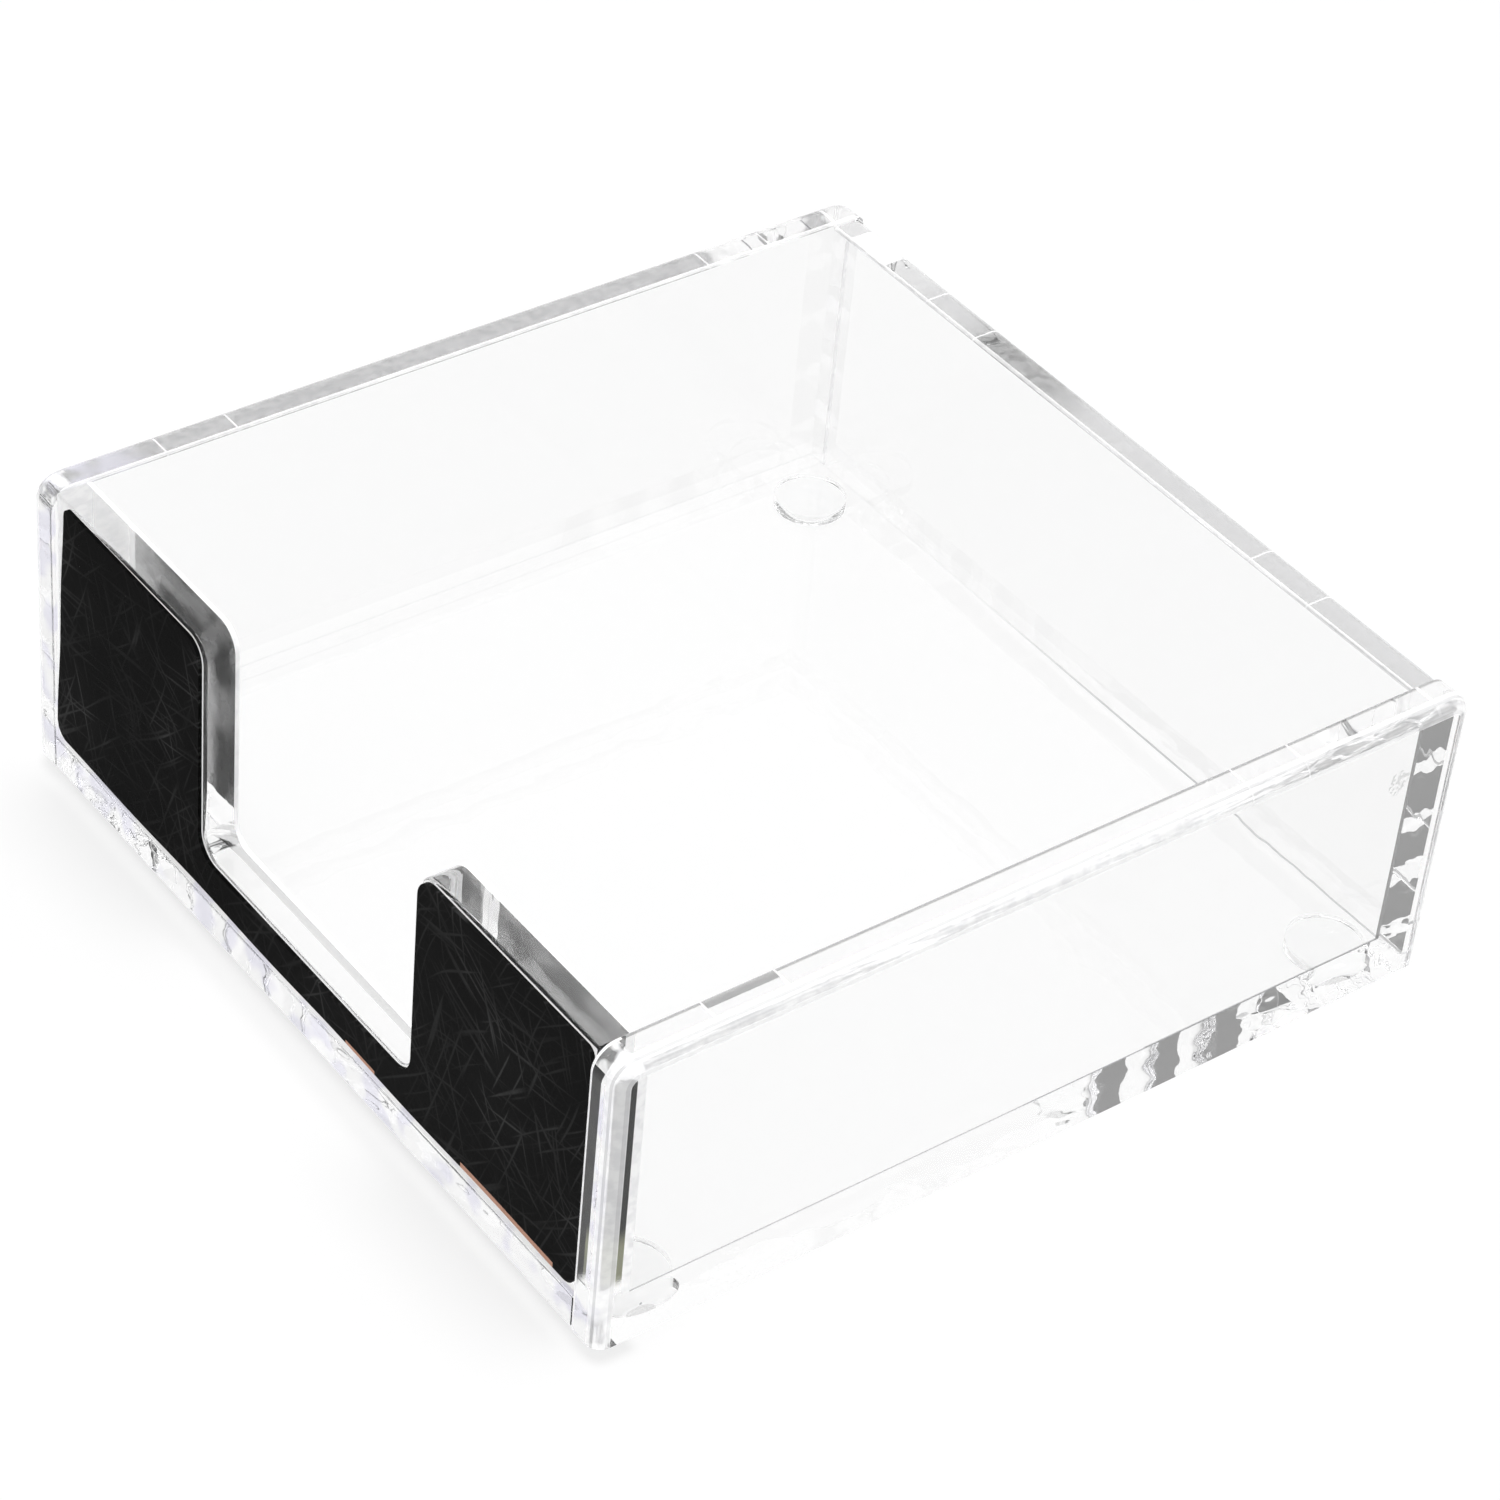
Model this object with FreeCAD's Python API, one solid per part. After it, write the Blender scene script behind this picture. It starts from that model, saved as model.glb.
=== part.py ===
import FreeCAD, Part
import math
import os

# Clear memo tray with a notched front wall and a black facing.
# Five sheets of clear acrylic are cemented edge to edge, and the tray stands on four bumper feet.
# Millimetres. +X is the tray's right, -Y its front and +Z up. The origin is under the middle of the feet.

# The memo sheet that the tray is made for, and the room round it
memo_width = 90.0
side_clearance = 1.0
end_clearance = 0.6

# Acrylic sheet and wall heights
sheet = 4.0
plate_height = 34.5
front_drop = 0.2
back_drop = 0.5
front_overhang = 0.2
back_overhang = 0.7

# Edge rounding
top_corner_radius = 2.6
rolled_radius = 1.6
small_radius = 0.3

# Thumb notch in the front wall
notch_width = 36.8
lip_height = 4.8
shoulder_radius = 2.8
root_radius = 2.5

# Black facing and the adhesive film behind it
facing_thickness = 0.4
facing_margin = 0.35
facing_side_margin = 0.5
facing_corner_radius = 1.0
facing_edge_break = 0.1
adhesive_thickness = 0.1
adhesive_margin = 1.2

# Bumper feet
foot_diameter = 8.0
foot_height = 2.0
foot_rim_height = 1.2
foot_flat_diameter = 3.2
foot_side_gap = 0.2
foot_end_inset = 7.0

# How far a cut or a trimmed blank runs past the solid, and how closely an edge must lie on a plane
overrun = 2.0
match_tolerance = 0.001

# Sizes that follow from the ones above
inner_width = memo_width + 2 * side_clearance
inner_depth = memo_width + 2 * end_clearance
facing_stack = facing_thickness + adhesive_thickness
outer_depth = front_overhang + facing_stack + sheet + inner_depth + sheet + back_overhang
inner_x = inner_width / 2
outer_x = inner_x + sheet
plate_front_y = -outer_depth / 2
plate_back_y = outer_depth / 2
facing_front_y = plate_front_y + front_overhang
adhesive_front_y = facing_front_y + facing_thickness
front_wall_y = adhesive_front_y + adhesive_thickness
tray_front_y = front_wall_y + sheet
tray_back_y = tray_front_y + inner_depth
back_wall_y = tray_back_y + sheet
bottom_z = foot_height
floor_z = bottom_z + sheet
plate_top_z = bottom_z + plate_height
front_top_z = plate_top_z - front_drop
back_top_z = plate_top_z - back_drop
notch_z = floor_z + lip_height
foot_radius = foot_diameter / 2
foot_x = inner_x - foot_side_gap - foot_radius
foot_front_y = front_wall_y + foot_end_inset
foot_back_y = back_wall_y - foot_end_inset


def in_side_view(x):
    """Place a flat point (y, z) on the plane at this x."""
    return lambda y, z: FreeCAD.Vector(x, y, z)


def in_front_view(y):
    """Place a flat point (x, z) on the plane at this y."""
    return lambda x, z: FreeCAD.Vector(x, y, z)


def rounded_face(corners, place):
    """Flat face from corners (a, b, radius), joined by lines and rounded by tangent arcs."""
    flat = [FreeCAD.Vector(a, b, 0) for a, b, radius in corners]
    count = len(flat)
    arcs = []
    for i in range(count):
        corner = flat[i]
        radius = corners[i][2]
        back = (flat[i - 1] - corner).normalize()
        ahead = (flat[(i + 1) % count] - corner).normalize()
        half_angle = back.getAngle(ahead) / 2
        reach = radius / math.tan(half_angle)
        depth = radius / math.sin(half_angle) - radius
        inward = (back + ahead).normalize()
        arcs.append([corner + back * reach, corner + inward * depth, corner + ahead * reach])
    edges = []
    for i in range(count):
        start, middle, end = [place(v.x, v.y) for v in arcs[i]]
        if corners[i][2] > 0:
            edges.append(Part.Arc(start, middle, end).toShape())
        following = arcs[(i + 1) % count][0]
        edges.append(Part.makeLine(end, place(following.x, following.y)))
    return Part.Face(Part.Wire(edges))


def edges_on(solid, axis, value, keep):
    """Edges that lie wholly on the plane where this axis has this value, and that pass the keep test."""
    found = []
    for edge in solid.Edges:
        box = edge.BoundBox
        low = getattr(box, axis + "Min")
        high = getattr(box, axis + "Max")
        if abs(low - value) < match_tolerance and abs(high - value) < match_tolerance and keep(box):
            found.append(edge)
    return found


def side_plate(side):
    """Side sheet: rounded top corners, the outer edge rolled over and the inner edge just eased."""
    blank_z = bottom_z - overrun
    corners = [
        (plate_front_y, blank_z, 0),
        (plate_back_y, blank_z, 0),
        (plate_back_y, plate_top_z, top_corner_radius),
        (plate_front_y, plate_top_z, top_corner_radius),
    ]
    face = rounded_face(corners, in_side_view(side * inner_x))
    plate = face.extrude(FreeCAD.Vector(side * sheet, 0, 0))
    above_foot = lambda box: box.ZMax > bottom_z
    plate = plate.makeFillet(rolled_radius, edges_on(plate, "X", side * outer_x, above_foot))
    plate = plate.makeFillet(small_radius, edges_on(plate, "X", side * inner_x, above_foot))
    span = outer_depth + 2 * overrun
    corner = FreeCAD.Vector(-outer_x - overrun, plate_front_y - overrun, bottom_z - 2 * overrun)
    trim = Part.makeBox(2 * outer_x + 2 * overrun, span, 2 * overrun, corner)
    return plate.cut(trim)


def floor_plate():
    """Floor sheet between the side plates, level with their front ends. Its open edges are eased."""
    corner = FreeCAD.Vector(-inner_x, plate_front_y, bottom_z)
    plate = Part.makeBox(inner_width, back_wall_y - plate_front_y, sheet, corner)
    crosswise = lambda box: box.XLength > sheet
    low = lambda box: crosswise(box) and box.ZMax < floor_z
    open_edges = edges_on(plate, "Y", plate_front_y, crosswise) + edges_on(plate, "Y", back_wall_y, low)
    return plate.makeFillet(small_radius, open_edges)


def back_plate():
    """Back wall on the floor, its outer top edge rolled over and its inner top edge eased."""
    corner = FreeCAD.Vector(-inner_x, tray_back_y, floor_z)
    plate = Part.makeBox(inner_width, sheet, back_top_z - floor_z, corner)
    at_top = lambda box: box.ZMin > floor_z
    plate = plate.makeFillet(rolled_radius, edges_on(plate, "Y", back_wall_y, at_top))
    return plate.makeFillet(small_radius, edges_on(plate, "Y", tray_back_y, at_top))


def front_outline(margin, side_margin, outer_radius):
    """Corners of the notched front, drawn in from its edges by the margins; the notch is widened by one."""
    left = -inner_x + side_margin
    right = inner_x - side_margin
    base = floor_z + margin
    top = front_top_z - margin
    notch = notch_width / 2 + margin
    lip = notch_z - margin
    shoulder = shoulder_radius - margin
    root = root_radius + margin
    return [
        (left, base, outer_radius),
        (right, base, outer_radius),
        (right, top, outer_radius),
        (notch, top, shoulder),
        (notch, lip, root),
        (-notch, lip, root),
        (-notch, top, shoulder),
        (left, top, outer_radius),
    ]


def notched_sheet(margin, side_margin, outer_radius, y, thickness):
    """Sheet with the notched outline, from this y towards the back."""
    face = rounded_face(front_outline(margin, side_margin, outer_radius), in_front_view(y))
    return face.extrude(FreeCAD.Vector(0, thickness, 0))


def front_plate():
    """Front wall on the floor, with a thumb notch. Every open edge is eased."""
    plate = notched_sheet(0, 0, 0, front_wall_y, sheet)
    inside = lambda box: box.ZMax > floor_z and abs(box.XMin + box.XMax) < 2 * inner_x - match_tolerance
    for y in (front_wall_y, tray_front_y):
        plate = plate.makeFillet(small_radius, edges_on(plate, "Y", y, inside))
    return plate


def front_facing():
    """Black facing that follows the front wall's outline, its front edge just broken."""
    radius = facing_corner_radius
    facing = notched_sheet(facing_margin, facing_side_margin, radius, facing_front_y, facing_thickness)
    everywhere = lambda box: True
    return facing.makeChamfer(facing_edge_break, edges_on(facing, "Y", facing_front_y, everywhere))


def facing_adhesive():
    """Adhesive film between the facing and the front wall."""
    radius = facing_corner_radius
    return notched_sheet(adhesive_margin, adhesive_margin, radius, adhesive_front_y, adhesive_thickness)


def bumper_foot(x, y):
    """Turned foot: flat top, short rim, then a dome that ends in a flat to stand on."""
    flat_radius = foot_flat_diameter / 2
    dome_height = foot_height - foot_rim_height
    spread = foot_radius - flat_radius
    dome_radius = (spread ** 2 + dome_height ** 2) / (2 * dome_height)
    swing = math.acos((dome_radius - dome_height) / dome_radius) / 2
    crown_x = flat_radius + dome_radius * math.sin(swing)
    crown = FreeCAD.Vector(crown_x, 0, dome_radius - dome_radius * math.cos(swing))
    foot_flat = FreeCAD.Vector(flat_radius, 0, 0)
    rim_low = FreeCAD.Vector(foot_radius, 0, dome_height)
    rim_high = FreeCAD.Vector(foot_radius, 0, foot_height)
    base_middle = FreeCAD.Vector(0, 0, 0)
    top_middle = FreeCAD.Vector(0, 0, foot_height)
    edges = [
        Part.makeLine(base_middle, foot_flat),
        Part.Arc(foot_flat, crown, rim_low).toShape(),
        Part.makeLine(rim_low, rim_high),
        Part.makeLine(rim_high, top_middle),
        Part.makeLine(top_middle, base_middle),
    ]
    full_turn = 360
    foot = Part.Face(Part.Wire(edges)).revolve(base_middle, FreeCAD.Vector(0, 0, 1), full_turn)
    foot.translate(FreeCAD.Vector(x, y, 0))
    return foot


nodes = {
    "floor_plate": floor_plate(),
    "left_side_plate": side_plate(-1),
    "right_side_plate": side_plate(1),
    "back_plate": back_plate(),
    "front_plate": front_plate(),
    "front_facing": front_facing(),
    "facing_adhesive": facing_adhesive(),
    "foot_front_left": bumper_foot(-foot_x, foot_front_y),
    "foot_front_right": bumper_foot(foot_x, foot_front_y),
    "foot_back_left": bumper_foot(-foot_x, foot_back_y),
    "foot_back_right": bumper_foot(foot_x, foot_back_y),
}

os.makedirs("parts", exist_ok=True)
for name, shape in nodes.items():
    shape.exportStep("parts/" + name + ".step")
    print(name, "valid", shape.isValid(), "solids", len(shape.Solids), "volume", round(shape.Volume, 1))
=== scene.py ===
import bpy
import numpy as np
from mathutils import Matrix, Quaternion, Vector


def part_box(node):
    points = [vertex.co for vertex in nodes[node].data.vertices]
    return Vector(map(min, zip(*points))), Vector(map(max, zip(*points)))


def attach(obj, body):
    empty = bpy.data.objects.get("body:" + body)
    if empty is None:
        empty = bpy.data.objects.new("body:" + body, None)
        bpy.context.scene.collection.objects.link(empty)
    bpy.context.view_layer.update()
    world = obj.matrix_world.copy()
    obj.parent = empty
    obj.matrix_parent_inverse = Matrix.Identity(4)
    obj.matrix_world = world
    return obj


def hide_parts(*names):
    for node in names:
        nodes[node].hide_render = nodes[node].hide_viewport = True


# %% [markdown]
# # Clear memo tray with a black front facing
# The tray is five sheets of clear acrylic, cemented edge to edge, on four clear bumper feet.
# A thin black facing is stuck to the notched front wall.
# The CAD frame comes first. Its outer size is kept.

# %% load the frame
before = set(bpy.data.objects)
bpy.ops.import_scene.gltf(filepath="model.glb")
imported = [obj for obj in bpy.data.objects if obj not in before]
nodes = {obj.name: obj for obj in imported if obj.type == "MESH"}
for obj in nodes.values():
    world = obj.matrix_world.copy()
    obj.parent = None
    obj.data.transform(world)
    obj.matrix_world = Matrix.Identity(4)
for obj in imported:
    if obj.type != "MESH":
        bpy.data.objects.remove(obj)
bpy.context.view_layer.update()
mm = 0.001
print("nodes", sorted(nodes))

# %% [markdown]
# The joints between the sheets are read from the nodes' own boxes, so they follow the CAD.
# Each face where two sheets meet is known by one coordinate, such as the inner half width.
# The acrylic below uses these limits, because it has to know where the cement is.

# %% where the sheets meet
floor_low, floor_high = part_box("floor_plate")
front_low, front_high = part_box("front_plate")
back_low, back_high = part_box("back_plate")
side_low, side_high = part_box("right_side_plate")
glue_low, glue_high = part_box("facing_adhesive")
foot_low, foot_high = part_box("foot_back_right")
front_foot_low, front_foot_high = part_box("foot_front_right")
inner_x = floor_high.x
floor_top = floor_high.z
floor_bottom = floor_low.z
print("inner half width", round(inner_x / mm, 3), "mm, floor top", round(floor_top / mm, 3), "mm")


# %% [markdown]
# A material here is a sum on shader sockets, so a small class wraps one socket.
# Arithmetic and comparisons on it add Math nodes, which keeps the formulas readable.
# Every other kind of node goes through one method that takes its type, settings and sockets.

# %% shader arithmetic
class Wire:
    """One output socket of a shader node. Arithmetic on it adds Math nodes to the same tree.

    A comparison gives 1 or 0, and a | b is the larger of the two.
    """

    def __init__(self, tree, socket):
        self.tree = tree
        self.socket = socket

    def add(self, kind, settings, inputs, output=0):
        """Add a node of this kind, set its properties, fill its sockets and return one of its outputs."""
        node = self.tree.nodes.new(kind)
        for name, value in settings.items():
            setattr(node, name, value)
        for key, value in inputs.items():
            if isinstance(value, Wire):
                self.tree.links.new(value.socket, node.inputs[key])
            else:
                node.inputs[key].default_value = value
        return Wire(self.tree, node.outputs[output] if node.outputs else None)

    def math(self, operation, *values):
        """Math node with this operation on these values."""
        return self.add("ShaderNodeMath", {"operation": operation}, dict(enumerate(values)))

    def __add__(self, other):
        return self.math("ADD", self, other)

    __radd__ = __add__

    def __mul__(self, other):
        return self.math("MULTIPLY", self, other)

    __rmul__ = __mul__

    def __sub__(self, other):
        return self.math("SUBTRACT", self, other)

    def __rsub__(self, other):
        return self.math("SUBTRACT", other, self)

    def __pow__(self, other):
        return self.math("POWER", self, other)

    def __abs__(self):
        return self.math("ABSOLUTE", self)

    def __lt__(self, other):
        return self.math("LESS_THAN", self, other)

    def __gt__(self, other):
        return self.math("GREATER_THAN", self, other)

    def __or__(self, other):
        return self.math("MAXIMUM", self, other)

    def between(self, low, high):
        """1 where this lies between the two limits, else 0."""
        return (self > low) * (self < high)

    def near(self, value, reach):
        """1 where this lies within reach of the value, else 0."""
        return abs(self - value) < reach

    def ramp(self, low, high):
        """Smooth step from 0 at the low limit to 1 at the high limit."""
        limits = {"Value": self, "From Min": low, "From Max": high}
        return self.add("ShaderNodeMapRange", {"interpolation_type": "SMOOTHSTEP"}, limits)

    def noise(self, scale, detail=1.0):
        """Soft noise from 0 to 1 at this place, with so many cells to the metre."""
        return self.add("ShaderNodeTexNoise", {}, {"Vector": self, "Scale": scale, "Detail": detail})

    def blend(self, low, high):
        """Colour between two colours, by this factor."""
        settings = {"data_type": "RGBA"}
        return self.add("ShaderNodeMix", settings, {"Factor": self, 6: low, 7: high}, 2)

    def between_shaders(self, low, high):
        """Mix of two shaders, by this factor."""
        return self.add("ShaderNodeMixShader", {}, {0: self, 1: low, 2: high})

    def show(self, kind="ShaderNodeOutputMaterial"):
        """Make this shader the surface of its material, or of the world."""
        self.add(kind, {}, {"Surface": self})


print("shader arithmetic ready")


# %% [markdown]
# Some sums come back in several materials, so they are helpers.
# The kind of a ray matters for clear things: the picture needs rays that bend, but a lamp's rays are let
# straight through, because bent lamp light is slow to find and would leave the paper in the dark.

# %% material helpers
def grey(level):
    """Neutral colour of this level."""
    return (level, level, level, 1.0)


def new_material(name):
    """Empty node material, with its object coordinates as one wire and as three."""
    material = bpy.data.materials.new(name)
    material.use_nodes = True
    tree = material.node_tree
    tree.nodes.clear()
    place = Wire(tree, None).add("ShaderNodeTexCoord", {}, {}, "Object")
    axes = [place.add("ShaderNodeSeparateXYZ", {}, {0: place}, k) for k in range(3)]
    return material, place, axes


def any_of(masks):
    """1 where at least one of the masks is 1."""
    masks = list(masks)
    found = masks[0]
    for mask in masks[1:]:
        found = found | mask
    return found


def ray_of(place, kinds):
    """1 on a ray of one of these kinds, by the names of Light Path's sockets."""
    return any_of(place.add("ShaderNodeLightPath", {}, {}, kind) for kind in kinds)


def lighting_ray(place):
    """1 on a ray that looks for light from a matt surface, such as the paper under the tray."""
    return ray_of(place, ["Is Shadow Ray", "Is Diffuse Ray"])


def picture_ray(place):
    """1 on a ray that makes the picture: straight from the camera, mirrored, or bent by a clear piece."""
    return ray_of(place, ["Is Camera Ray", "Is Glossy Ray", "Is Transmission Ray"])


def unbent(place, colour):
    """Shader that lets light straight through, tinted by this colour."""
    return place.add("ShaderNodeBsdfTransparent", {}, {"Color": colour})


white = grey(1.0)
print("material helpers ready")

# %% [markdown]
# Clear acrylic is glass-like, with a refractive index of 1.49.
# The solvent cement has the same index, so light goes straight through a joint.
# One fused solid would show that too, but here each sheet is a solid of its own.
# So the two faces that meet let light pass unbent, and everywhere else a face bends it.

# %% joint faces
acrylic, place, (x, y, z) = new_material("clear_acrylic_sheet")
touch = 0.02 * mm
in_floor = z.between(floor_bottom, floor_top) * y.between(floor_low.y, floor_high.y)
in_front_wall = z.between(floor_top, front_high.z) * y.between(front_low.y, front_high.y)
in_back_wall = z.between(floor_top, back_high.z) * y.between(back_low.y, back_high.y)
side_joints = abs(x).near(inner_x, touch) * any_of([in_floor, in_front_wall, in_back_wall])
under_walls = y.between(front_low.y, front_high.y) | y.between(back_low.y, back_high.y)
standing_joints = z.near(floor_top, touch) * under_walls * (abs(x) < inner_x)
foot_radius = (foot_high.x - foot_low.x) / 2
foot_x = (foot_high.x + foot_low.x) / 2
foot_rows = [(foot_high.y + foot_low.y) / 2, (front_foot_high.y + front_foot_low.y) / 2]
pads = any_of((abs(x) - foot_x) ** 2 + (y - row) ** 2 < foot_radius ** 2 for row in foot_rows)
foot_joints = z.near(floor_bottom, touch) * pads
print("feet", round(2 * foot_radius / mm, 3), "mm across, joints between the sheets marked")

# %% [markdown]
# A film of adhesive holds the black facing, and it wets the front wall only in part.
# Where it wets the wall, light goes on to the black. Where it doesn't, the wall's face mirrors the room.
# So this joint is a fraction: strong on the left, about half on the right, and dry at the far left end.

# %% facing joint
notch_half = 18.4 * mm
notch_floor = 10.8 * mm
glue_margin = 1.2 * mm
dry_x = -43.0 * mm
wet_x = -36.0 * mm
wander = 4.0 * mm * place.noise(200.0)
cut_out = (abs(x) < notch_half + glue_margin) * (z > notch_floor - glue_margin)
covered = (abs(x) < glue_high.x) * z.between(glue_low.z, glue_high.z) * (1.0 - cut_out)
blotches = place.noise(120.0).ramp(0.4, 0.6)
left_wetting = (0.7 + 0.3 * blotches) * (x + wander).ramp(dry_x, wet_x)
right_wetting = 0.35 + 0.35 * blotches
wetted = (x < 0.0) * left_wetting + (x > 0.0) * right_wetting
facing_joint = y.near(front_low.y, touch) * covered * wetted
joint = any_of([side_joints, standing_joints, foot_joints, facing_joint])
print("facing joint marked")

# %% [markdown]
# Polished faces are never quite flat. Waves could be cut into the solids, but the CAD stays as it is,
# so a bump tilts the surface by about a degree. It breaks up the straight images in the edges.
# The panes are tinted a little apart as painted shade: the floor is the clearest, and the left and back
# walls are greyer. The front ends have pale lilac clouds of painted reflection.

# %% panes
wave_height = 0.03 * mm
waves = place.noise(150.0, 1.5)
wavy = place.add("ShaderNodeBump", {}, {"Strength": 1.0, "Distance": wave_height, "Height": waves})
floor_pane = z < floor_top + touch
wall_pane = (z > floor_top + touch) * (x < inner_x) * (y > front_high.y)
# painted shade: the left and back walls are tinted greyer than the floor
pane = floor_pane.blend(grey(0.96), grey(0.995))
pane = wall_pane.blend(pane, grey(0.945))
front_skin = 0.5 * mm
# painted reflection: pale lilac clouds at the front ends
lilac_reflections = (y < floor_low.y + front_skin) * place.noise(260.0).ramp(0.46, 0.6)
tint = lilac_reflections.blend(pane, (0.7, 0.69, 0.83, 1.0))
print("panes toned")

# %% [markdown]
# The cement shows as a hairline along the inner corners. Thin solids would be coarser than the real lines,
# so they are narrow strips of darker tint on the faces beside each corner.
# They are faint on the left and clear on the right, and fade in along the back.

# %% cement lines
hair = 0.14 * mm
on_right = x > 0.0
side_strength = 0.15 + 0.6 * on_right + 0.25 * on_right * (y > 0.0)
along_side = abs(x).near(inner_x, hair) * side_strength
back_fade_start = -25.0 * mm
back_fade_end = 15.0 * mm
along_back = y.near(back_low.y, hair) * (0.1 + 0.8 * x.ramp(back_fade_start, back_fade_end))
along_front = y.near(front_high.y, hair)
hairline = z.near(floor_top, hair) * any_of([along_side, along_front, along_back])
hairline = hairline | 0.5 * along_side * z.near(floor_bottom, hair)
tint = hairline.blend(tint, (0.3, 0.31, 0.32, 1.0))
print("hairlines reach", round(hair / mm, 3), "mm to each side of a corner")

# %% [markdown]
# The rear right corner has the most cement: a dark upright line, a line along the foot of the side plate,
# and a small smudge that was left on the plate. The smudge is a disc whose edge is broken by noise.

# %% rear right corner
upright_width = 0.5 * mm
foot_line_height = 0.3 * mm
foot_line_start = 15.0 * mm
on_plate = x.near(inner_x, hair)
upright = on_plate * y.between(back_low.y - upright_width, back_low.y) * (z > floor_top)
foot_line = on_plate * z.between(floor_top, floor_top + foot_line_height) * (y > foot_line_start)
tint = (upright | 0.6 * foot_line).blend(tint, grey(0.06))
smudge_y = 43.6 * mm
smudge_z = 27.0 * mm
smudge_radius = 2.6 * mm * place.noise(700.0)
smudge = ((y - smudge_y) ** 2 + (z - smudge_z) ** 2) ** 0.5 < smudge_radius
smudge = smudge * x.near(inner_x, touch) * place.noise(2000.0).ramp(0.4, 0.6)
tint = smudge.blend(tint, grey(0.5))
print("smudge at", round(smudge_y / mm, 3), round(smudge_z / mm, 3), "mm")

# %% [markdown]
# The flat tops of the rims look grey, because they show the darker side of the room from below.
# More dark cards round the tray would also do it, but they would show in every other face.
# So each rim has its own painted tint of shade and reflection. The left one is painted an even grey with
# a fine grain, lilac at its front end and with pale patches at its back end.

# %% left rim
rim_depth = 0.9 * mm
speckle = place.noise(1100.0, 2.0).ramp(0.3, 0.7)
left_rim = (x < -inner_x) * (z > side_high.z - rim_depth)
lilac_full = -46.0 * mm
lilac_gone = -36.0 * mm
lilac_end = (1.0 - y.ramp(lilac_full, lilac_gone)) * place.noise(300.0).ramp(0.3, 0.6)
patchy_start = 29.0 * mm
patchy_full = 31.0 * mm
patches = y.ramp(patchy_start, patchy_full) * place.noise(240.0).ramp(0.42, 0.5)
# painted shade and reflection on the left rim: grey grain, lilac front end, pale patches at the back
left_rim_shade = speckle.blend((0.25, 0.25, 0.255, 1.0), (0.4, 0.4, 0.405, 1.0))
left_rim_shade = lilac_end.blend(left_rim_shade, (0.6, 0.59, 0.72, 1.0))
left_rim_shade = patches.blend(left_rim_shade, grey(0.96))
tint = left_rim.blend(tint, left_rim_shade)
print("left rim toned")

# %% [markdown]
# The back rim's painted shade is paler, with a dark stretch left of its middle and a light left end.
# A painted image could hold both, but smooth steps between two places along the rim are enough.

# %% back rim
streaks = place.noise(95.0, 2.0).ramp(0.42, 0.62)
back_rim = (y > back_low.y) * (abs(x) < inner_x) * (z > back_high.z - rim_depth)
dark_rise = (-28.0 * mm, -18.0 * mm)
dark_fall = (-14.0 * mm, -2.0 * mm)
light_end_fall = (-38.0 * mm, -28.0 * mm)
# painted shade: a dark stretch and a light left end on the back rim
dark_shade_stretch = x.ramp(*dark_rise) * (1.0 - x.ramp(*dark_fall)) * (0.6 + 0.4 * speckle)
back_rim_shade = dark_shade_stretch.blend((0.54, 0.54, 0.545, 1.0), grey(0.12))
light_end = (1.0 - x.ramp(*light_end_fall)) * (0.4 + 0.6 * streaks)
back_rim_shade = light_end.blend(back_rim_shade, grey(0.98))
tint = back_rim.blend(tint, back_rim_shade)
print("back rim toned")

# %% [markdown]
# The right rim is clear, apart from painted shade: one grey patch between two of its cross marks
# and a fine dark line along its inner edge.

# %% right rim
patch_width = 1.2 * mm
patch_start = -38.9 * mm
patch_end = -30.9 * mm
patch_depth = 0.2 * mm
patch = x.between(inner_x, inner_x + patch_width) * y.between(patch_start, patch_end)
# painted shade: the grey patch on the right rim
tint = (patch * (z > side_high.z - patch_depth)).blend(tint, grey(0.2))
line_width = 0.5 * mm
line_depth = 0.4 * mm
line_inset = 3.0 * mm
# painted shade: the dark line along the right rim's inner edge
inner_shade_line = x.between(inner_x, inner_x + line_width) * (z > side_high.z - line_depth)
tint = (inner_shade_line * (y > side_low.y + line_inset)).blend(tint, grey(0.3))
print("right rim toned")

# %% [markdown]
# All the tints so far go into one glass shader with acrylic's index.
# The rims also carry short white cross marks. They are too fine to model, so they are masks.

# %% glass and cross marks
acrylic_index = 1.49
polished = {
    "Base Color": tint,
    "Roughness": 0.0,
    "IOR": acrylic_index,
    "Transmission Weight": 1.0,
    "Normal": wavy,
}
glass = place.add("ShaderNodeBsdfPrincipled", {}, polished)
mark = 0.1 * mm
mark_depth = 0.8 * mm
left_places = (-37.1 * mm, -28.9 * mm, 29.1 * mm, 37.1 * mm)
right_places = (patch_start, patch_end, 22.1 * mm, 29.1 * mm)
back_places = (-30.0 * mm, -22.0 * mm, 22.0 * mm, 30.6 * mm)
left_marks = any_of(y.near(at, mark) for at in left_places) * (x < -inner_x)
right_marks = any_of(y.near(at, mark) for at in right_places) * (x > inner_x)
back_marks = any_of(x.near(at, mark) for at in back_places) * (y > back_low.y)
marks = any_of([left_marks, right_marks, back_marks]) * (z > back_high.z - mark_depth)
print("cross marks", len(left_places) + len(right_places) + len(back_places))

# %% [markdown]
# The side plates' outer edges are rolled over, and light that is trapped in a sheet leaves it there.
# A path tracer finds little of that light, so these edges would go dark.
# A pale, faintly glowing finish is mixed in there instead, on the right plate and at both front ends.
# The depth below a plate's rim is a distance to its rounded outline.

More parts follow.
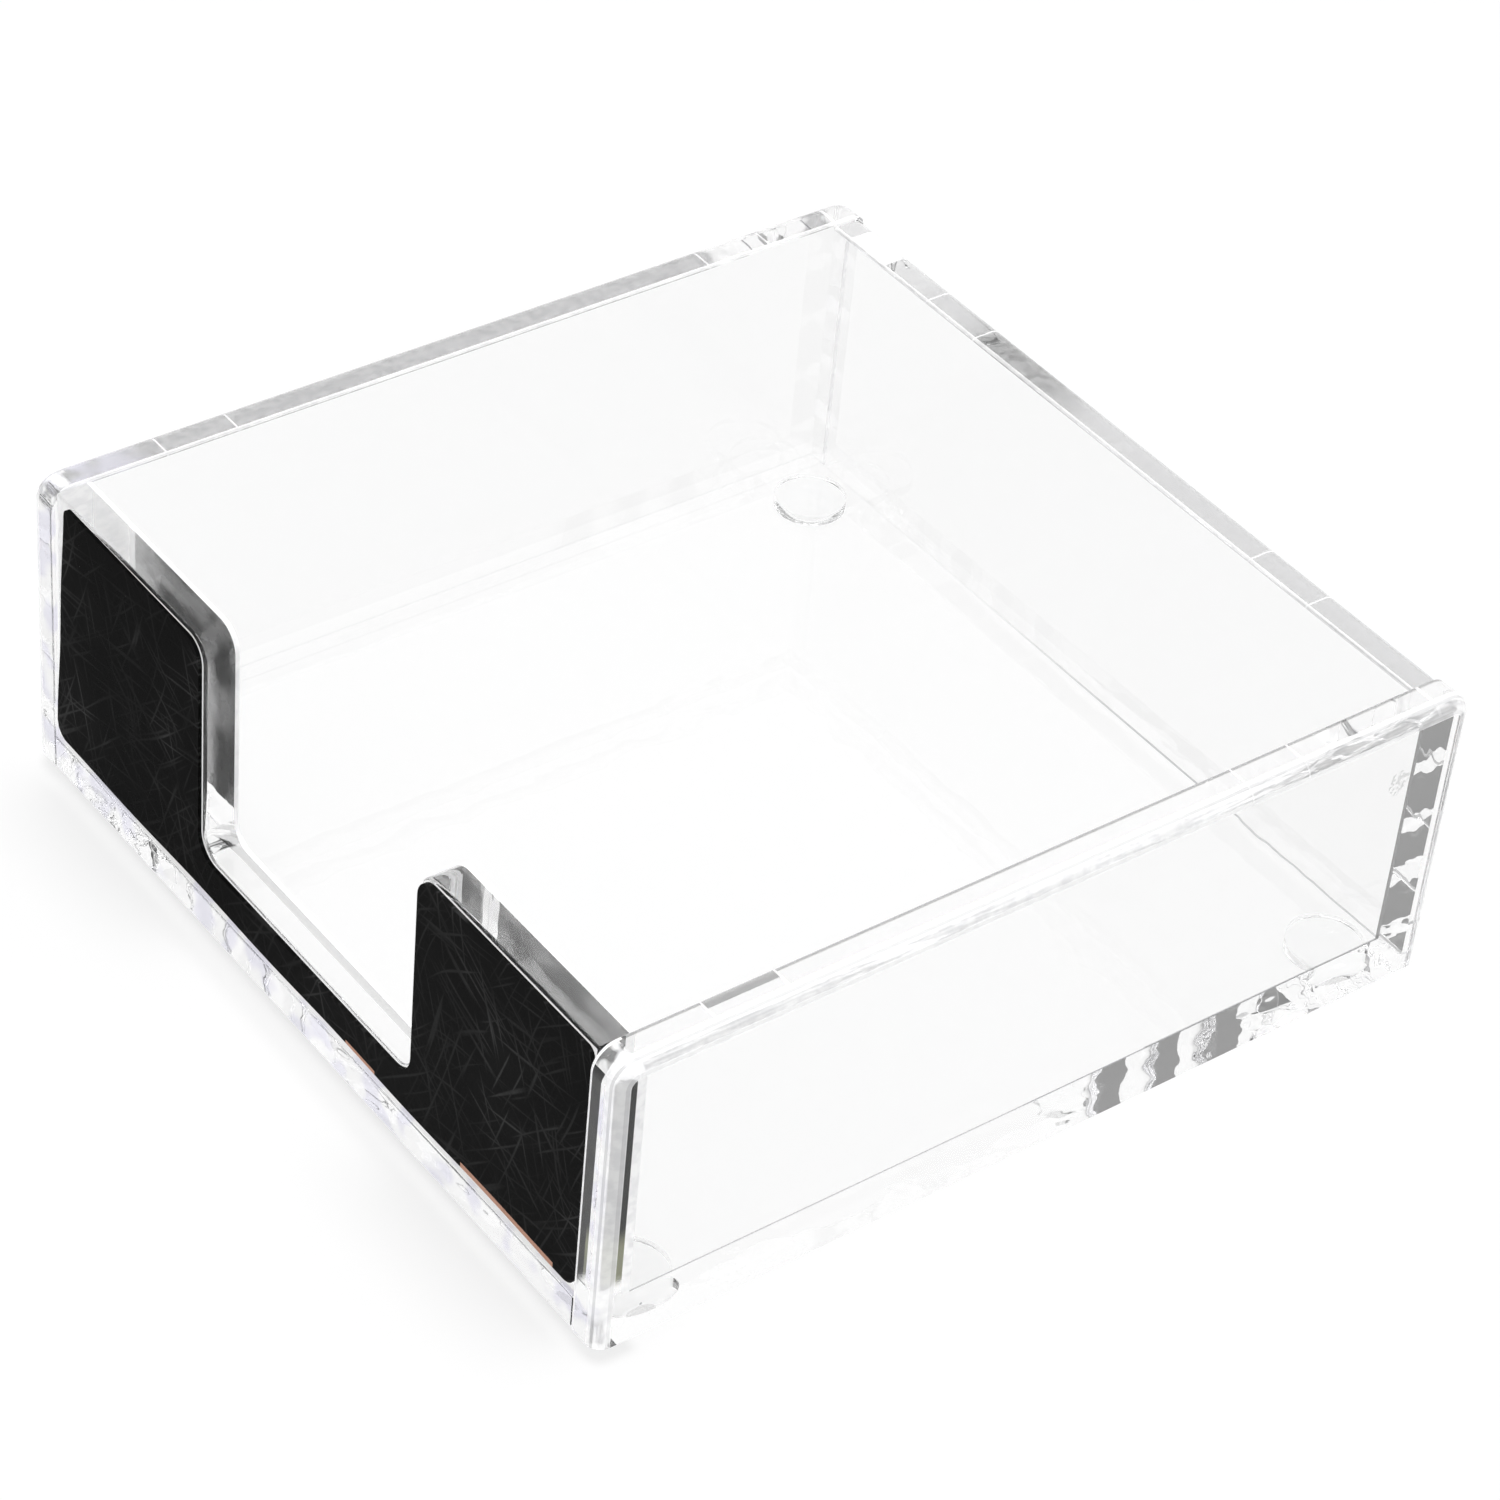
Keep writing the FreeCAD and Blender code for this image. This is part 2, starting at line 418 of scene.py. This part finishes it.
# %% rolled edges
roll = 1.6 * mm
corner = 2.6 * mm
past_end = (abs(y) - (side_high.y - corner)) | 0.0
past_top = (z - (side_high.z - corner)) | 0.0
depth = corner - (past_end ** 2 + past_top ** 2) ** 0.5
front_reach = 3.0 * mm
at_front = y < side_low.y + front_reach
on_roll = abs(x) > side_high.x - roll
rolled = on_roll * (depth < roll)
dim_start = 10.0 * mm
dim_end = 30.0 * mm
right_glow = (0.6 - 0.2 * y.ramp(dim_start, dim_end)) * (x > 0.0)
glow = any_of([right_glow * (y < side_high.y - roll), 0.35 * (x > 0.0), 0.4 * at_front])
# painted glow on the rolled front corners
corner_glow = (abs(x) > inner_x + touch) * at_front * (past_top > 0.4 * corner) * (past_end > 0.0)
corner_glow = corner_glow * (0.2 + 0.5 * place.noise(700.0).ramp(0.4, 0.6))
print("rolled edges", round(roll / mm, 3), "mm wide")

# %% [markdown]
# The other open edges are just eased, and each eased edge shows as a fine white line, a painted highlight.
# These strips take the same pale glowing finish. So do the back rim's left end, painted nearly white,
# and the small edge of the left plate that stands out behind the back wall, painted light.

# %% eased edges
ease = 0.4 * mm
wide_ease = 0.65 * mm
post_ease = 0.45 * mm
post_depth = 0.35 * mm
foot_gap = 1.0 * mm
post = x.between(inner_x + touch, inner_x + post_ease) * (depth < post_depth) * at_front
behind = x.near(-inner_x, post_depth) * (y > back_high.y)
front_ease = y.between(front_high.y - wide_ease, front_high.y - touch) * (z > floor_top + foot_gap)
front_ease = front_ease * (abs(x) < inner_x - touch)
left_ease = x.between(-inner_x - ease, -inner_x - touch) * (z > side_high.z - ease)
back_ease = y.between(back_low.y + touch, back_low.y + ease) * (z > back_high.z - ease)
white_start = -43.5 * mm
white_stop = -37.5 * mm
painted_white_end = back_rim * x.between(white_start, white_stop) * (0.45 + 0.4 * streaks)
# painted highlights: pale glowing strips on the eased edges and on the back rim's left end
edges = [0.9 * post, 0.9 * behind, 0.8 * front_ease, 0.6 * left_ease, 0.5 * back_ease, painted_white_end]
glow_mask = any_of([0.6 * marks, glow * rolled, corner_glow] + edges)
print("pale edge strips", len(edges))

# %% [markdown]
# The glowing pale finish has a fine grain, and painted grey shade lines mark the roll's start and end.
# It is mixed into the glass by the masks above, and the cemented faces come last, because no light
# is bent or scattered where two sheets are one.

# %% pale finish
rim_line_depth = 0.14 * mm
rim_line_half = 0.06 * mm
roll_line_depth = 1.3 * mm
roll_line_half = 0.2 * mm
rim_line = depth.near(rim_line_depth, rim_line_half)
roll_line = depth.near(roll_line_depth, roll_line_half)
roll_shade_lines = (rim_line | 0.5 * roll_line) * on_roll
grain = place.noise(900.0, 2.0).ramp(0.35, 0.65)
pearl = grain.blend((0.86, 0.86, 0.87, 1.0), grey(0.97))
# painted shade: grey lines where the roll starts and ends
pearl = roll_shade_lines.blend(pearl, (0.6, 0.6, 0.61, 1.0))
# the pale finish glows faintly: painted light for the light trapped in the sheet
pale = {"Base Color": pearl, "Roughness": 0.5, "Emission Color": pearl, "Emission Strength": 0.3}
frost_and_glow = place.add("ShaderNodeBsdfPrincipled", {}, pale)
glass_and_glow = glow_mask.between_shaders(glass, frost_and_glow)
cemented = joint.between_shaders(glass_and_glow, unbent(place, white))
print("pale finish mixed in")

# %% [markdown]
# The ends of the front wall are cemented to the side plates, and that cement is cloudy, with the pale
# glowing finish.
# At the right end a painted dark strip, olive near the floor, stands in for the facing's black seen bent
# through the plate's end. It has no thickness, so it is painted on the faces that meet there.

# %% end joints
image_limit = front_low.y + 3.0 * mm
olive_front = front_low.y + 2.1 * mm
olive_full = floor_top + 6.0 * mm
olive_gone = floor_top + 9.0 * mm
image_start = floor_top + 1.2 * mm
image_full = floor_top + 3.0 * mm
image_top = front_high.z - 2.5 * mm
left_end = x.near(-inner_x, touch) * in_front_wall
right_end = x.near(inner_x, touch) * in_front_wall
cloudy = (0.75 * (left_end | right_end * (y > image_limit))).between_shaders(cemented, frost_and_glow)
olive = (y > olive_front) * (1.0 - z.ramp(olive_full, olive_gone))
# painted reflection: the facing's black seen through the right plate's end
dark_image_colour = olive.blend(grey(0.01), (0.3, 0.31, 0.2, 1.0))
dark_image = place.add("ShaderNodeBsdfPrincipled", {}, {"Base Color": dark_image_colour, "Roughness": 0.6})
dark_image_mask = right_end * (y < image_limit) * (z < image_top) * z.ramp(image_start, image_full)
dark_imaged = dark_image_mask.between_shaders(cloudy, dark_image)
print("end joints stained")

# %% [markdown]
# Lamp light goes straight through the acrylic, hardly tinted, so the paper under the tray stays bright.
# Under the front wall it is dimmed, because the black facing keeps some of the light off the paper there.

# %% light through the acrylic
under_front = (z < floor_bottom + touch) * (y < front_high.y)
shade = under_front.between_shaders(unbent(place, grey(0.99)), unbent(place, grey(0.6)))
lighting_ray(place).between_shaders(dark_imaged, shade).show()
print("clear acrylic nodes", len(acrylic.node_tree.nodes))

# %% [markdown]
# The facing is a glossy black sheet that has been handled: fine scratches cross it in all directions.
# Each scratch field is noise stretched along one direction and cut off high, which leaves short thin lines.
# Drawn lines would look alike, and noise gives each its own length and strength.
# The right half has more scratches and a lighter black than the left.

# %% scratches
black, place, (x, y, z) = new_material("black_facing_sheet")
facing_low, facing_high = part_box("front_facing")
bend = 4.0 * mm * place.noise(45.0)
along_scale = 90.0
across_scale = 2400.0
fields = []
for turn in (0.15, 0.75, 1.2, 1.9, 2.6):
    along = x * float(np.cos(turn)) + z * float(np.sin(turn))
    across = z * float(np.cos(turn)) - x * float(np.sin(turn)) + bend
    stretched = {0: along_scale * along, 1: across_scale * across, 2: turn}
    field = place.add("ShaderNodeCombineXYZ", {}, stretched)
    fields.append(field.noise(1.0, 0.0).ramp(0.64, 0.81))
smears = place.noise(90.0, 3.0).ramp(0.45, 0.75)
rightward_start = -15.0 * mm
rightward_full = 15.0 * mm
rightward = x.ramp(rightward_start, rightward_full)
scratches = any_of(fields) * (0.2 + 0.25 * rightward + 0.8 * smears) | 0.08 * smears
print("scratch fields", len(fields))

# %% [markdown]
# A tan strip of the sheet's backing shows along two parts of its lower edge.
# The strip follows the wandering edge, so it is measured on the sheet's own map, from top to bottom.

# %% black facing
sheet = place.add("ShaderNodeUVMap", {"uv_map": "sheet"}, {})
down = sheet.add("ShaderNodeSeparateXYZ", {}, {0: sheet}, 1)
notch_strip = (8.0 * mm, 13.0 * mm)
notch_strip_share = 0.88
corner_strip = (27.5 * mm, 42.5 * mm)
corner_strip_share = 0.979
under_notch = (down > notch_strip_share) * x.between(*notch_strip)
under_corner = (down > corner_strip_share) * x.between(*corner_strip)
gloss = rightward.blend(grey(0.0028), grey(0.0072))
coat = scratches.blend(gloss, grey(0.045))
coat = (under_notch | under_corner).blend(coat, (0.6, 0.34, 0.25, 1.0))
roughness = 0.22 + 0.12 * place.noise(500.0)
facing_index = 1.04
black_gloss = {"Base Color": coat, "Roughness": roughness, "IOR": facing_index}
place.add("ShaderNodeBsdfPrincipled", {}, black_gloss).show()
print("black facing nodes", len(black.node_tree.nodes))

# %% [markdown]
# The adhesive film is clear and thin, and only a little haze shows that it is there.
# Glass this thin would only add noise, so it is a clear pass with a trace of matt grey.

# %% adhesive film
film, place, (x, y, z) = new_material("adhesive_film_sheet")
haze = place.add("ShaderNodeBsdfDiffuse", {}, {"Color": grey(0.6)})
(0.05 * place.noise(300.0)).between_shaders(unbent(place, white), haze).show()
print("film nodes", len(film.node_tree.nodes))

# %% [markdown]
# The feet are soft clear rubber. They could be glass-like, as the sheets are,
# but the one that the photo shows through the floor is only an outline, so they bend light much less.
# Their flat tops stick to the floor, and light passes that face unbent too.

# %% clear rubber
bumper, place, (x, y, z) = new_material("clear_bumper_rubber")
rubber_index = 1.15
rubber = {
    "Base Color": (0.97, 0.975, 0.975, 1.0),
    "Roughness": 0.04 * place.noise(400.0),
    "IOR": rubber_index,
    "Transmission Weight": 1.0,
}
soft = place.add("ShaderNodeBsdfPrincipled", {}, rubber)
stuck = z.near(floor_bottom, touch).between_shaders(soft, unbent(place, white))
lighting_ray(place).between_shaders(stuck, unbent(place, grey(0.97))).show()
print("rubber nodes", len(bumper.node_tree.nodes))

# %% [markdown]
# The CAD nodes keep their shapes and take the finishes by the names of their slots.
# Each node could be given its finish by its own name, but the slots already say which nodes share one.

# %% put the finishes on
finishes = {
    "clear_acrylic": acrylic,
    "black_facing": black,
    "adhesive_film": film,
    "clear_bumper": bumper,
}
for node in nodes.values():
    for slot in node.material_slots:
        slot.material = finishes[slot.material.name.split(".")[0]]
print("finishes", sorted(finishes))

# %% [markdown]
# The facing looks cut by hand. Its left edge leans in towards the top, and its edges wander a little.
# Moving the CAD node's points would change the CAD, so a new sheet stands for it.
# Its outline starts from the CAD's own: the box, the notch and the rounded corners.

# %% facing outline
left, right = facing_low.x, facing_high.x
base, top = facing_low.z, facing_high.z
notch_margin = 0.35 * mm
half = notch_half + notch_margin
lip = notch_floor - notch_margin
shoulder = 2.45 * mm
root = 2.85 * mm
top_corner = 1.0 * mm
low_corner = 1.8 * mm
arc_points = 24


def arc(x, z, radius, start, end):
    """Points (x, z) on a circle round a centre, at even angles in degrees between start and end."""
    turn = np.radians(np.linspace(start, end, arc_points))
    return np.column_stack([x + radius * np.cos(turn), z + radius * np.sin(turn)])


upper_path = np.concatenate([
    arc(left + top_corner, top - top_corner, top_corner, 180, 90),
    arc(-half - shoulder, top - shoulder, shoulder, 90, 0),
    arc(root - half, lip + root, root, 180, 270),
    arc(half - root, lip + root, root, 270, 360),
    arc(half + shoulder, top - shoulder, shoulder, 180, 90),
    arc(right - top_corner, top - top_corner, top_corner, 90, 0),
])
print("points on the upper edge", len(upper_path))


# %% [markdown]
# The sheet is a ruled surface: each point of the upper edge, notch included, is joined to the lower edge
# by a straight line. The points near the left and lower edges are then moved by the lean and the ripple.

# %% facing surface
lean_top = 1.5 * mm
lean_fall = 1.85 * mm
lean_wave = 0.08 * mm
wave_turn = 11.0
wave_start = 1.0
low_slope = 0.3 * mm
ripple_height = 0.1 * mm
ripple_length = 4.0 * mm
right_step = 0.4 * mm
corner_lift = 0.25 * mm


def lower_edge(even, run):
    """Points of the lower edge under even steps of the upper one, with its ends rounded upwards.

    The turns of the upper edge, at these lengths along its run, stand over fixed places below.
    """
    turns = run[[0, arc_points, 2 * arc_points, 4 * arc_points - 1, 5 * arc_points - 1, 6 * arc_points - 1]]
    below = np.interp(even, turns, [left, -half - shoulder, -half, half, half + shoulder, right])
    from_end = np.minimum(below - left, right - below)
    rise = low_corner - np.sqrt(low_corner ** 2 - np.maximum(low_corner - from_end, 0.0) ** 2)
    return np.column_stack([below, base + rise])


def hand_cut(x, z, v):
    """Points of the sheet moved by the cutter's hand, with v from 0 at the upper edge to 1 at the lower.

    The left edge is moved by a lean that falls with v plus a small wave, the right edge by a fixed step,
    and the lower edge by a slope plus a sine of x, times the cube of v.
    """
    leftness = np.clip((-half - x) / (-half - left), 0.0, 1.0)
    rightness = np.clip((x - half) / (right - half), 0.0, 1.0)
    lean = lean_top - lean_fall * v + lean_wave * np.sin(wave_turn * v + wave_start)
    ripple = low_slope * (x - left) / (right - left) + ripple_height * np.sin(x / ripple_length)
    moved_x = x + lean * leftness + right_step * rightness
    moved_z = z + ripple * v ** 3 + corner_lift * leftness * (1.0 - v)
    return np.stack([moved_x, np.full_like(x, facing_low.y), moved_z], axis=2)


def facing_grid(columns, rows):
    """Points of the ruled sheet: upper edge times (1 - v) plus lower edge times v, then cut by hand."""
    run = np.concatenate([[0.0], np.cumsum(np.hypot(*np.diff(upper_path, axis=0).T))])
    even = np.linspace(0.0, run[-1], columns)
    upper = np.column_stack([np.interp(even, run, upper_path[:, k]) for k in range(2)])
    v = np.linspace(0.0, 1.0, rows)[:, None, None]
    grid = upper * (1.0 - v) + lower_edge(even, run) * v
    return hand_cut(grid[:, :, 0], grid[:, :, 1], v[:, :, 0])


facing_columns = 700
facing_rows = 16
facing_points = facing_grid(facing_columns, facing_rows)
print("facing grid", facing_points.shape)


# %% [markdown]
# The grid becomes one mesh of four-sided faces. Solidify gives it the CAD's thickness towards the wall,
# and a small bevel breaks its edges. The piece keeps between the side plates.

# %% black facing sheet
def grid_mesh(name, grid):
    """Mesh of four-sided faces over a grid of points, with the grid's own (u, v) as its map."""
    rows, columns = grid.shape[:2]
    number = np.arange(rows * columns).reshape(rows, columns)
    faces = np.stack([number[1:, :-1], number[1:, 1:], number[:-1, 1:], number[:-1, :-1]], axis=2)
    mesh = bpy.data.meshes.new(name)
    mesh.from_pydata(grid.reshape(-1, 3).tolist(), [], faces.reshape(-1, 4).tolist())
    u, v = np.meshgrid(np.linspace(0.0, 1.0, columns), np.linspace(0.0, 1.0, rows))
    places = np.column_stack([u.ravel(), v.ravel()])[faces.reshape(-1)]
    mesh.uv_layers.new(name="sheet").data.foreach_set("uv", places.ravel())
    return mesh


facing = bpy.data.objects.new("facing_sheet", grid_mesh("facing_sheet", facing_points))
scene = bpy.context.scene
scene.collection.objects.link(facing)
facing.data.materials.append(black)
thicken = facing.modifiers.new("thickness", "SOLIDIFY")
thicken.thickness = facing_high.y - facing_low.y
thicken.offset = -1.0
break_edge = facing.modifiers.new("broken edge", "BEVEL")
break_edge.width = 0.08 * mm
break_edge.segments = 2
break_edge.limit_method = "ANGLE"
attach(facing, "root")
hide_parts("front_facing")
print("facing points", len(facing.data.vertices))


# %% [markdown]
# The tray stands on plain white paper. Paper scatters light evenly, so a matt surface is enough.
# The sheet is a disc that ends where the lamp still lights it fully. Past it the white studio shows,
# because paper that runs on to the horizon would fade to grey in the low views.
# In the picture the paper is partly a flat white, which keeps the tray's shadow faint.

# %% paper
def flat_disc(name, radius, count):
    """Level disc at height zero: points at even angles round a circle of this radius, as one face."""
    angles = np.linspace(0.0, 2.0 * np.pi, count, endpoint=False)
    points = np.column_stack([radius * np.cos(angles), radius * np.sin(angles), np.zeros(count)])
    mesh = bpy.data.meshes.new(name)
    mesh.from_pydata(points.tolist(), [], [list(range(count))])
    disc = bpy.data.objects.new(name, mesh)
    scene.collection.objects.link(disc)
    return disc


table_radius = 0.5
table_points = 96
table = flat_disc("table", table_radius, table_points)
paper, place, (x, y, z) = new_material("white_paper")
fibres = place.noise(700.0, 3.0)
paper_colour = fibres.blend(grey(0.855), grey(0.865))
matt = {"Base Color": paper_colour, "Roughness": 1.0, "Specular IOR Level": 0.0}
shaded = place.add("ShaderNodeBsdfPrincipled", {}, matt)
flat_white = place.add("ShaderNodeEmission", {}, {"Color": white, "Strength": 1.0})
flat_share = 0.6
(flat_share * picture_ray(place)).between_shaders(shaded, flat_white).show()
table.data.materials.append(paper)
print("table radius", table_radius, "m")


# %% [markdown]
# A large round softbox hangs above and gives most of the light.
# A small lamp would do too, but it would throw hard shadows, and the photo has none.

# %% lamp
def softbox(name, where, target, size, watts):
    """Round area light at a place, facing a target."""
    light = bpy.data.lights.new(name, "AREA")
    light.shape = "DISK"
    light.size = size
    light.energy = watts
    lamp = bpy.data.objects.new(name, light)
    lamp.location = where
    lamp.rotation_mode = "QUATERNION"
    lamp.rotation_quaternion = (Vector(target) - Vector(where)).to_track_quat("-Z", "Y")
    scene.collection.objects.link(lamp)
    return lamp


lamp_place = (0.15, -0.1, 2.2)
lamp_size = 1.6
lamp_watts = 50.0
lamp = softbox("overhead", lamp_place, (0.0, 0.0, 0.0), lamp_size, lamp_watts)
print("lamp", lamp.name, lamp_size, "m across")

# %% [markdown]
# The studio is white behind the tray and dark on the camera's side.
# The clear edges mirror and bend both, which gives them their white and grey patches.
# Cards and walls could be built for this, but the world can do it by the direction of a ray.
# Matt surfaces get an even, weaker light from all sides instead, and the camera sees plain white.

# %% studio
world = bpy.data.worlds.new("studio")
world.use_nodes = True
world.node_tree.nodes.clear()
start = Wire(world.node_tree, None)
backdrop_strength = 1.0
far_side_strength = 1.0
camera_side_strength = 0.28
matt_light_strength = 0.3


def glow_of(strength):
    """White background of this strength."""
    return start.add("ShaderNodeBackground", {}, {"Color": white, "Strength": strength})


direction = start.add("ShaderNodeTexCoord", {}, {}, "Generated")
towards_back = direction.add("ShaderNodeSeparateXYZ", {}, {0: direction}, 1)
turn_to_back = towards_back.ramp(-0.3, 0.2)
surroundings = turn_to_back.between_shaders(glow_of(camera_side_strength), glow_of(far_side_strength))
mirrored_or_bent = ray_of(start, ["Is Glossy Ray", "Is Transmission Ray"])
studio = mirrored_or_bent.between_shaders(glow_of(matt_light_strength), surroundings)
seen = ray_of(start, ["Is Camera Ray"])
seen.between_shaders(studio, glow_of(backdrop_strength)).show("ShaderNodeOutputWorld")
scene.world = world
print("studio nodes", len(world.node_tree.nodes))

# %% [markdown]
# The camera was worked out from the straight edges in the photo.
# Light can bounce many times between polished faces, so the path limits are raised.
# Caustics are off, because the lamp's light already goes straight through the clear pieces.

# %% camera
eye = bpy.data.cameras.new("camera")
eye.sensor_width = 36.0
eye.lens = 113.2
eye.clip_start = 0.01
camera = bpy.data.objects.new("camera", eye)
camera.location = (0.27915, -0.23131, 0.31324)
camera.rotation_mode = "QUATERNION"
camera.rotation_quaternion = Quaternion((0.79908, 0.39593, 0.161275, 0.422732))
scene.collection.objects.link(camera)
scene.camera = camera
scene.view_settings.view_transform = "Standard"
most_bounces = 40
scene.cycles.max_bounces = most_bounces
scene.cycles.transmission_bounces = most_bounces
scene.cycles.glossy_bounces = most_bounces
scene.cycles.transparent_max_bounces = 64
scene.cycles.caustics_reflective = False
scene.cycles.caustics_refractive = False
print("camera lens", round(eye.lens, 1), "mm, bounces", most_bounces)
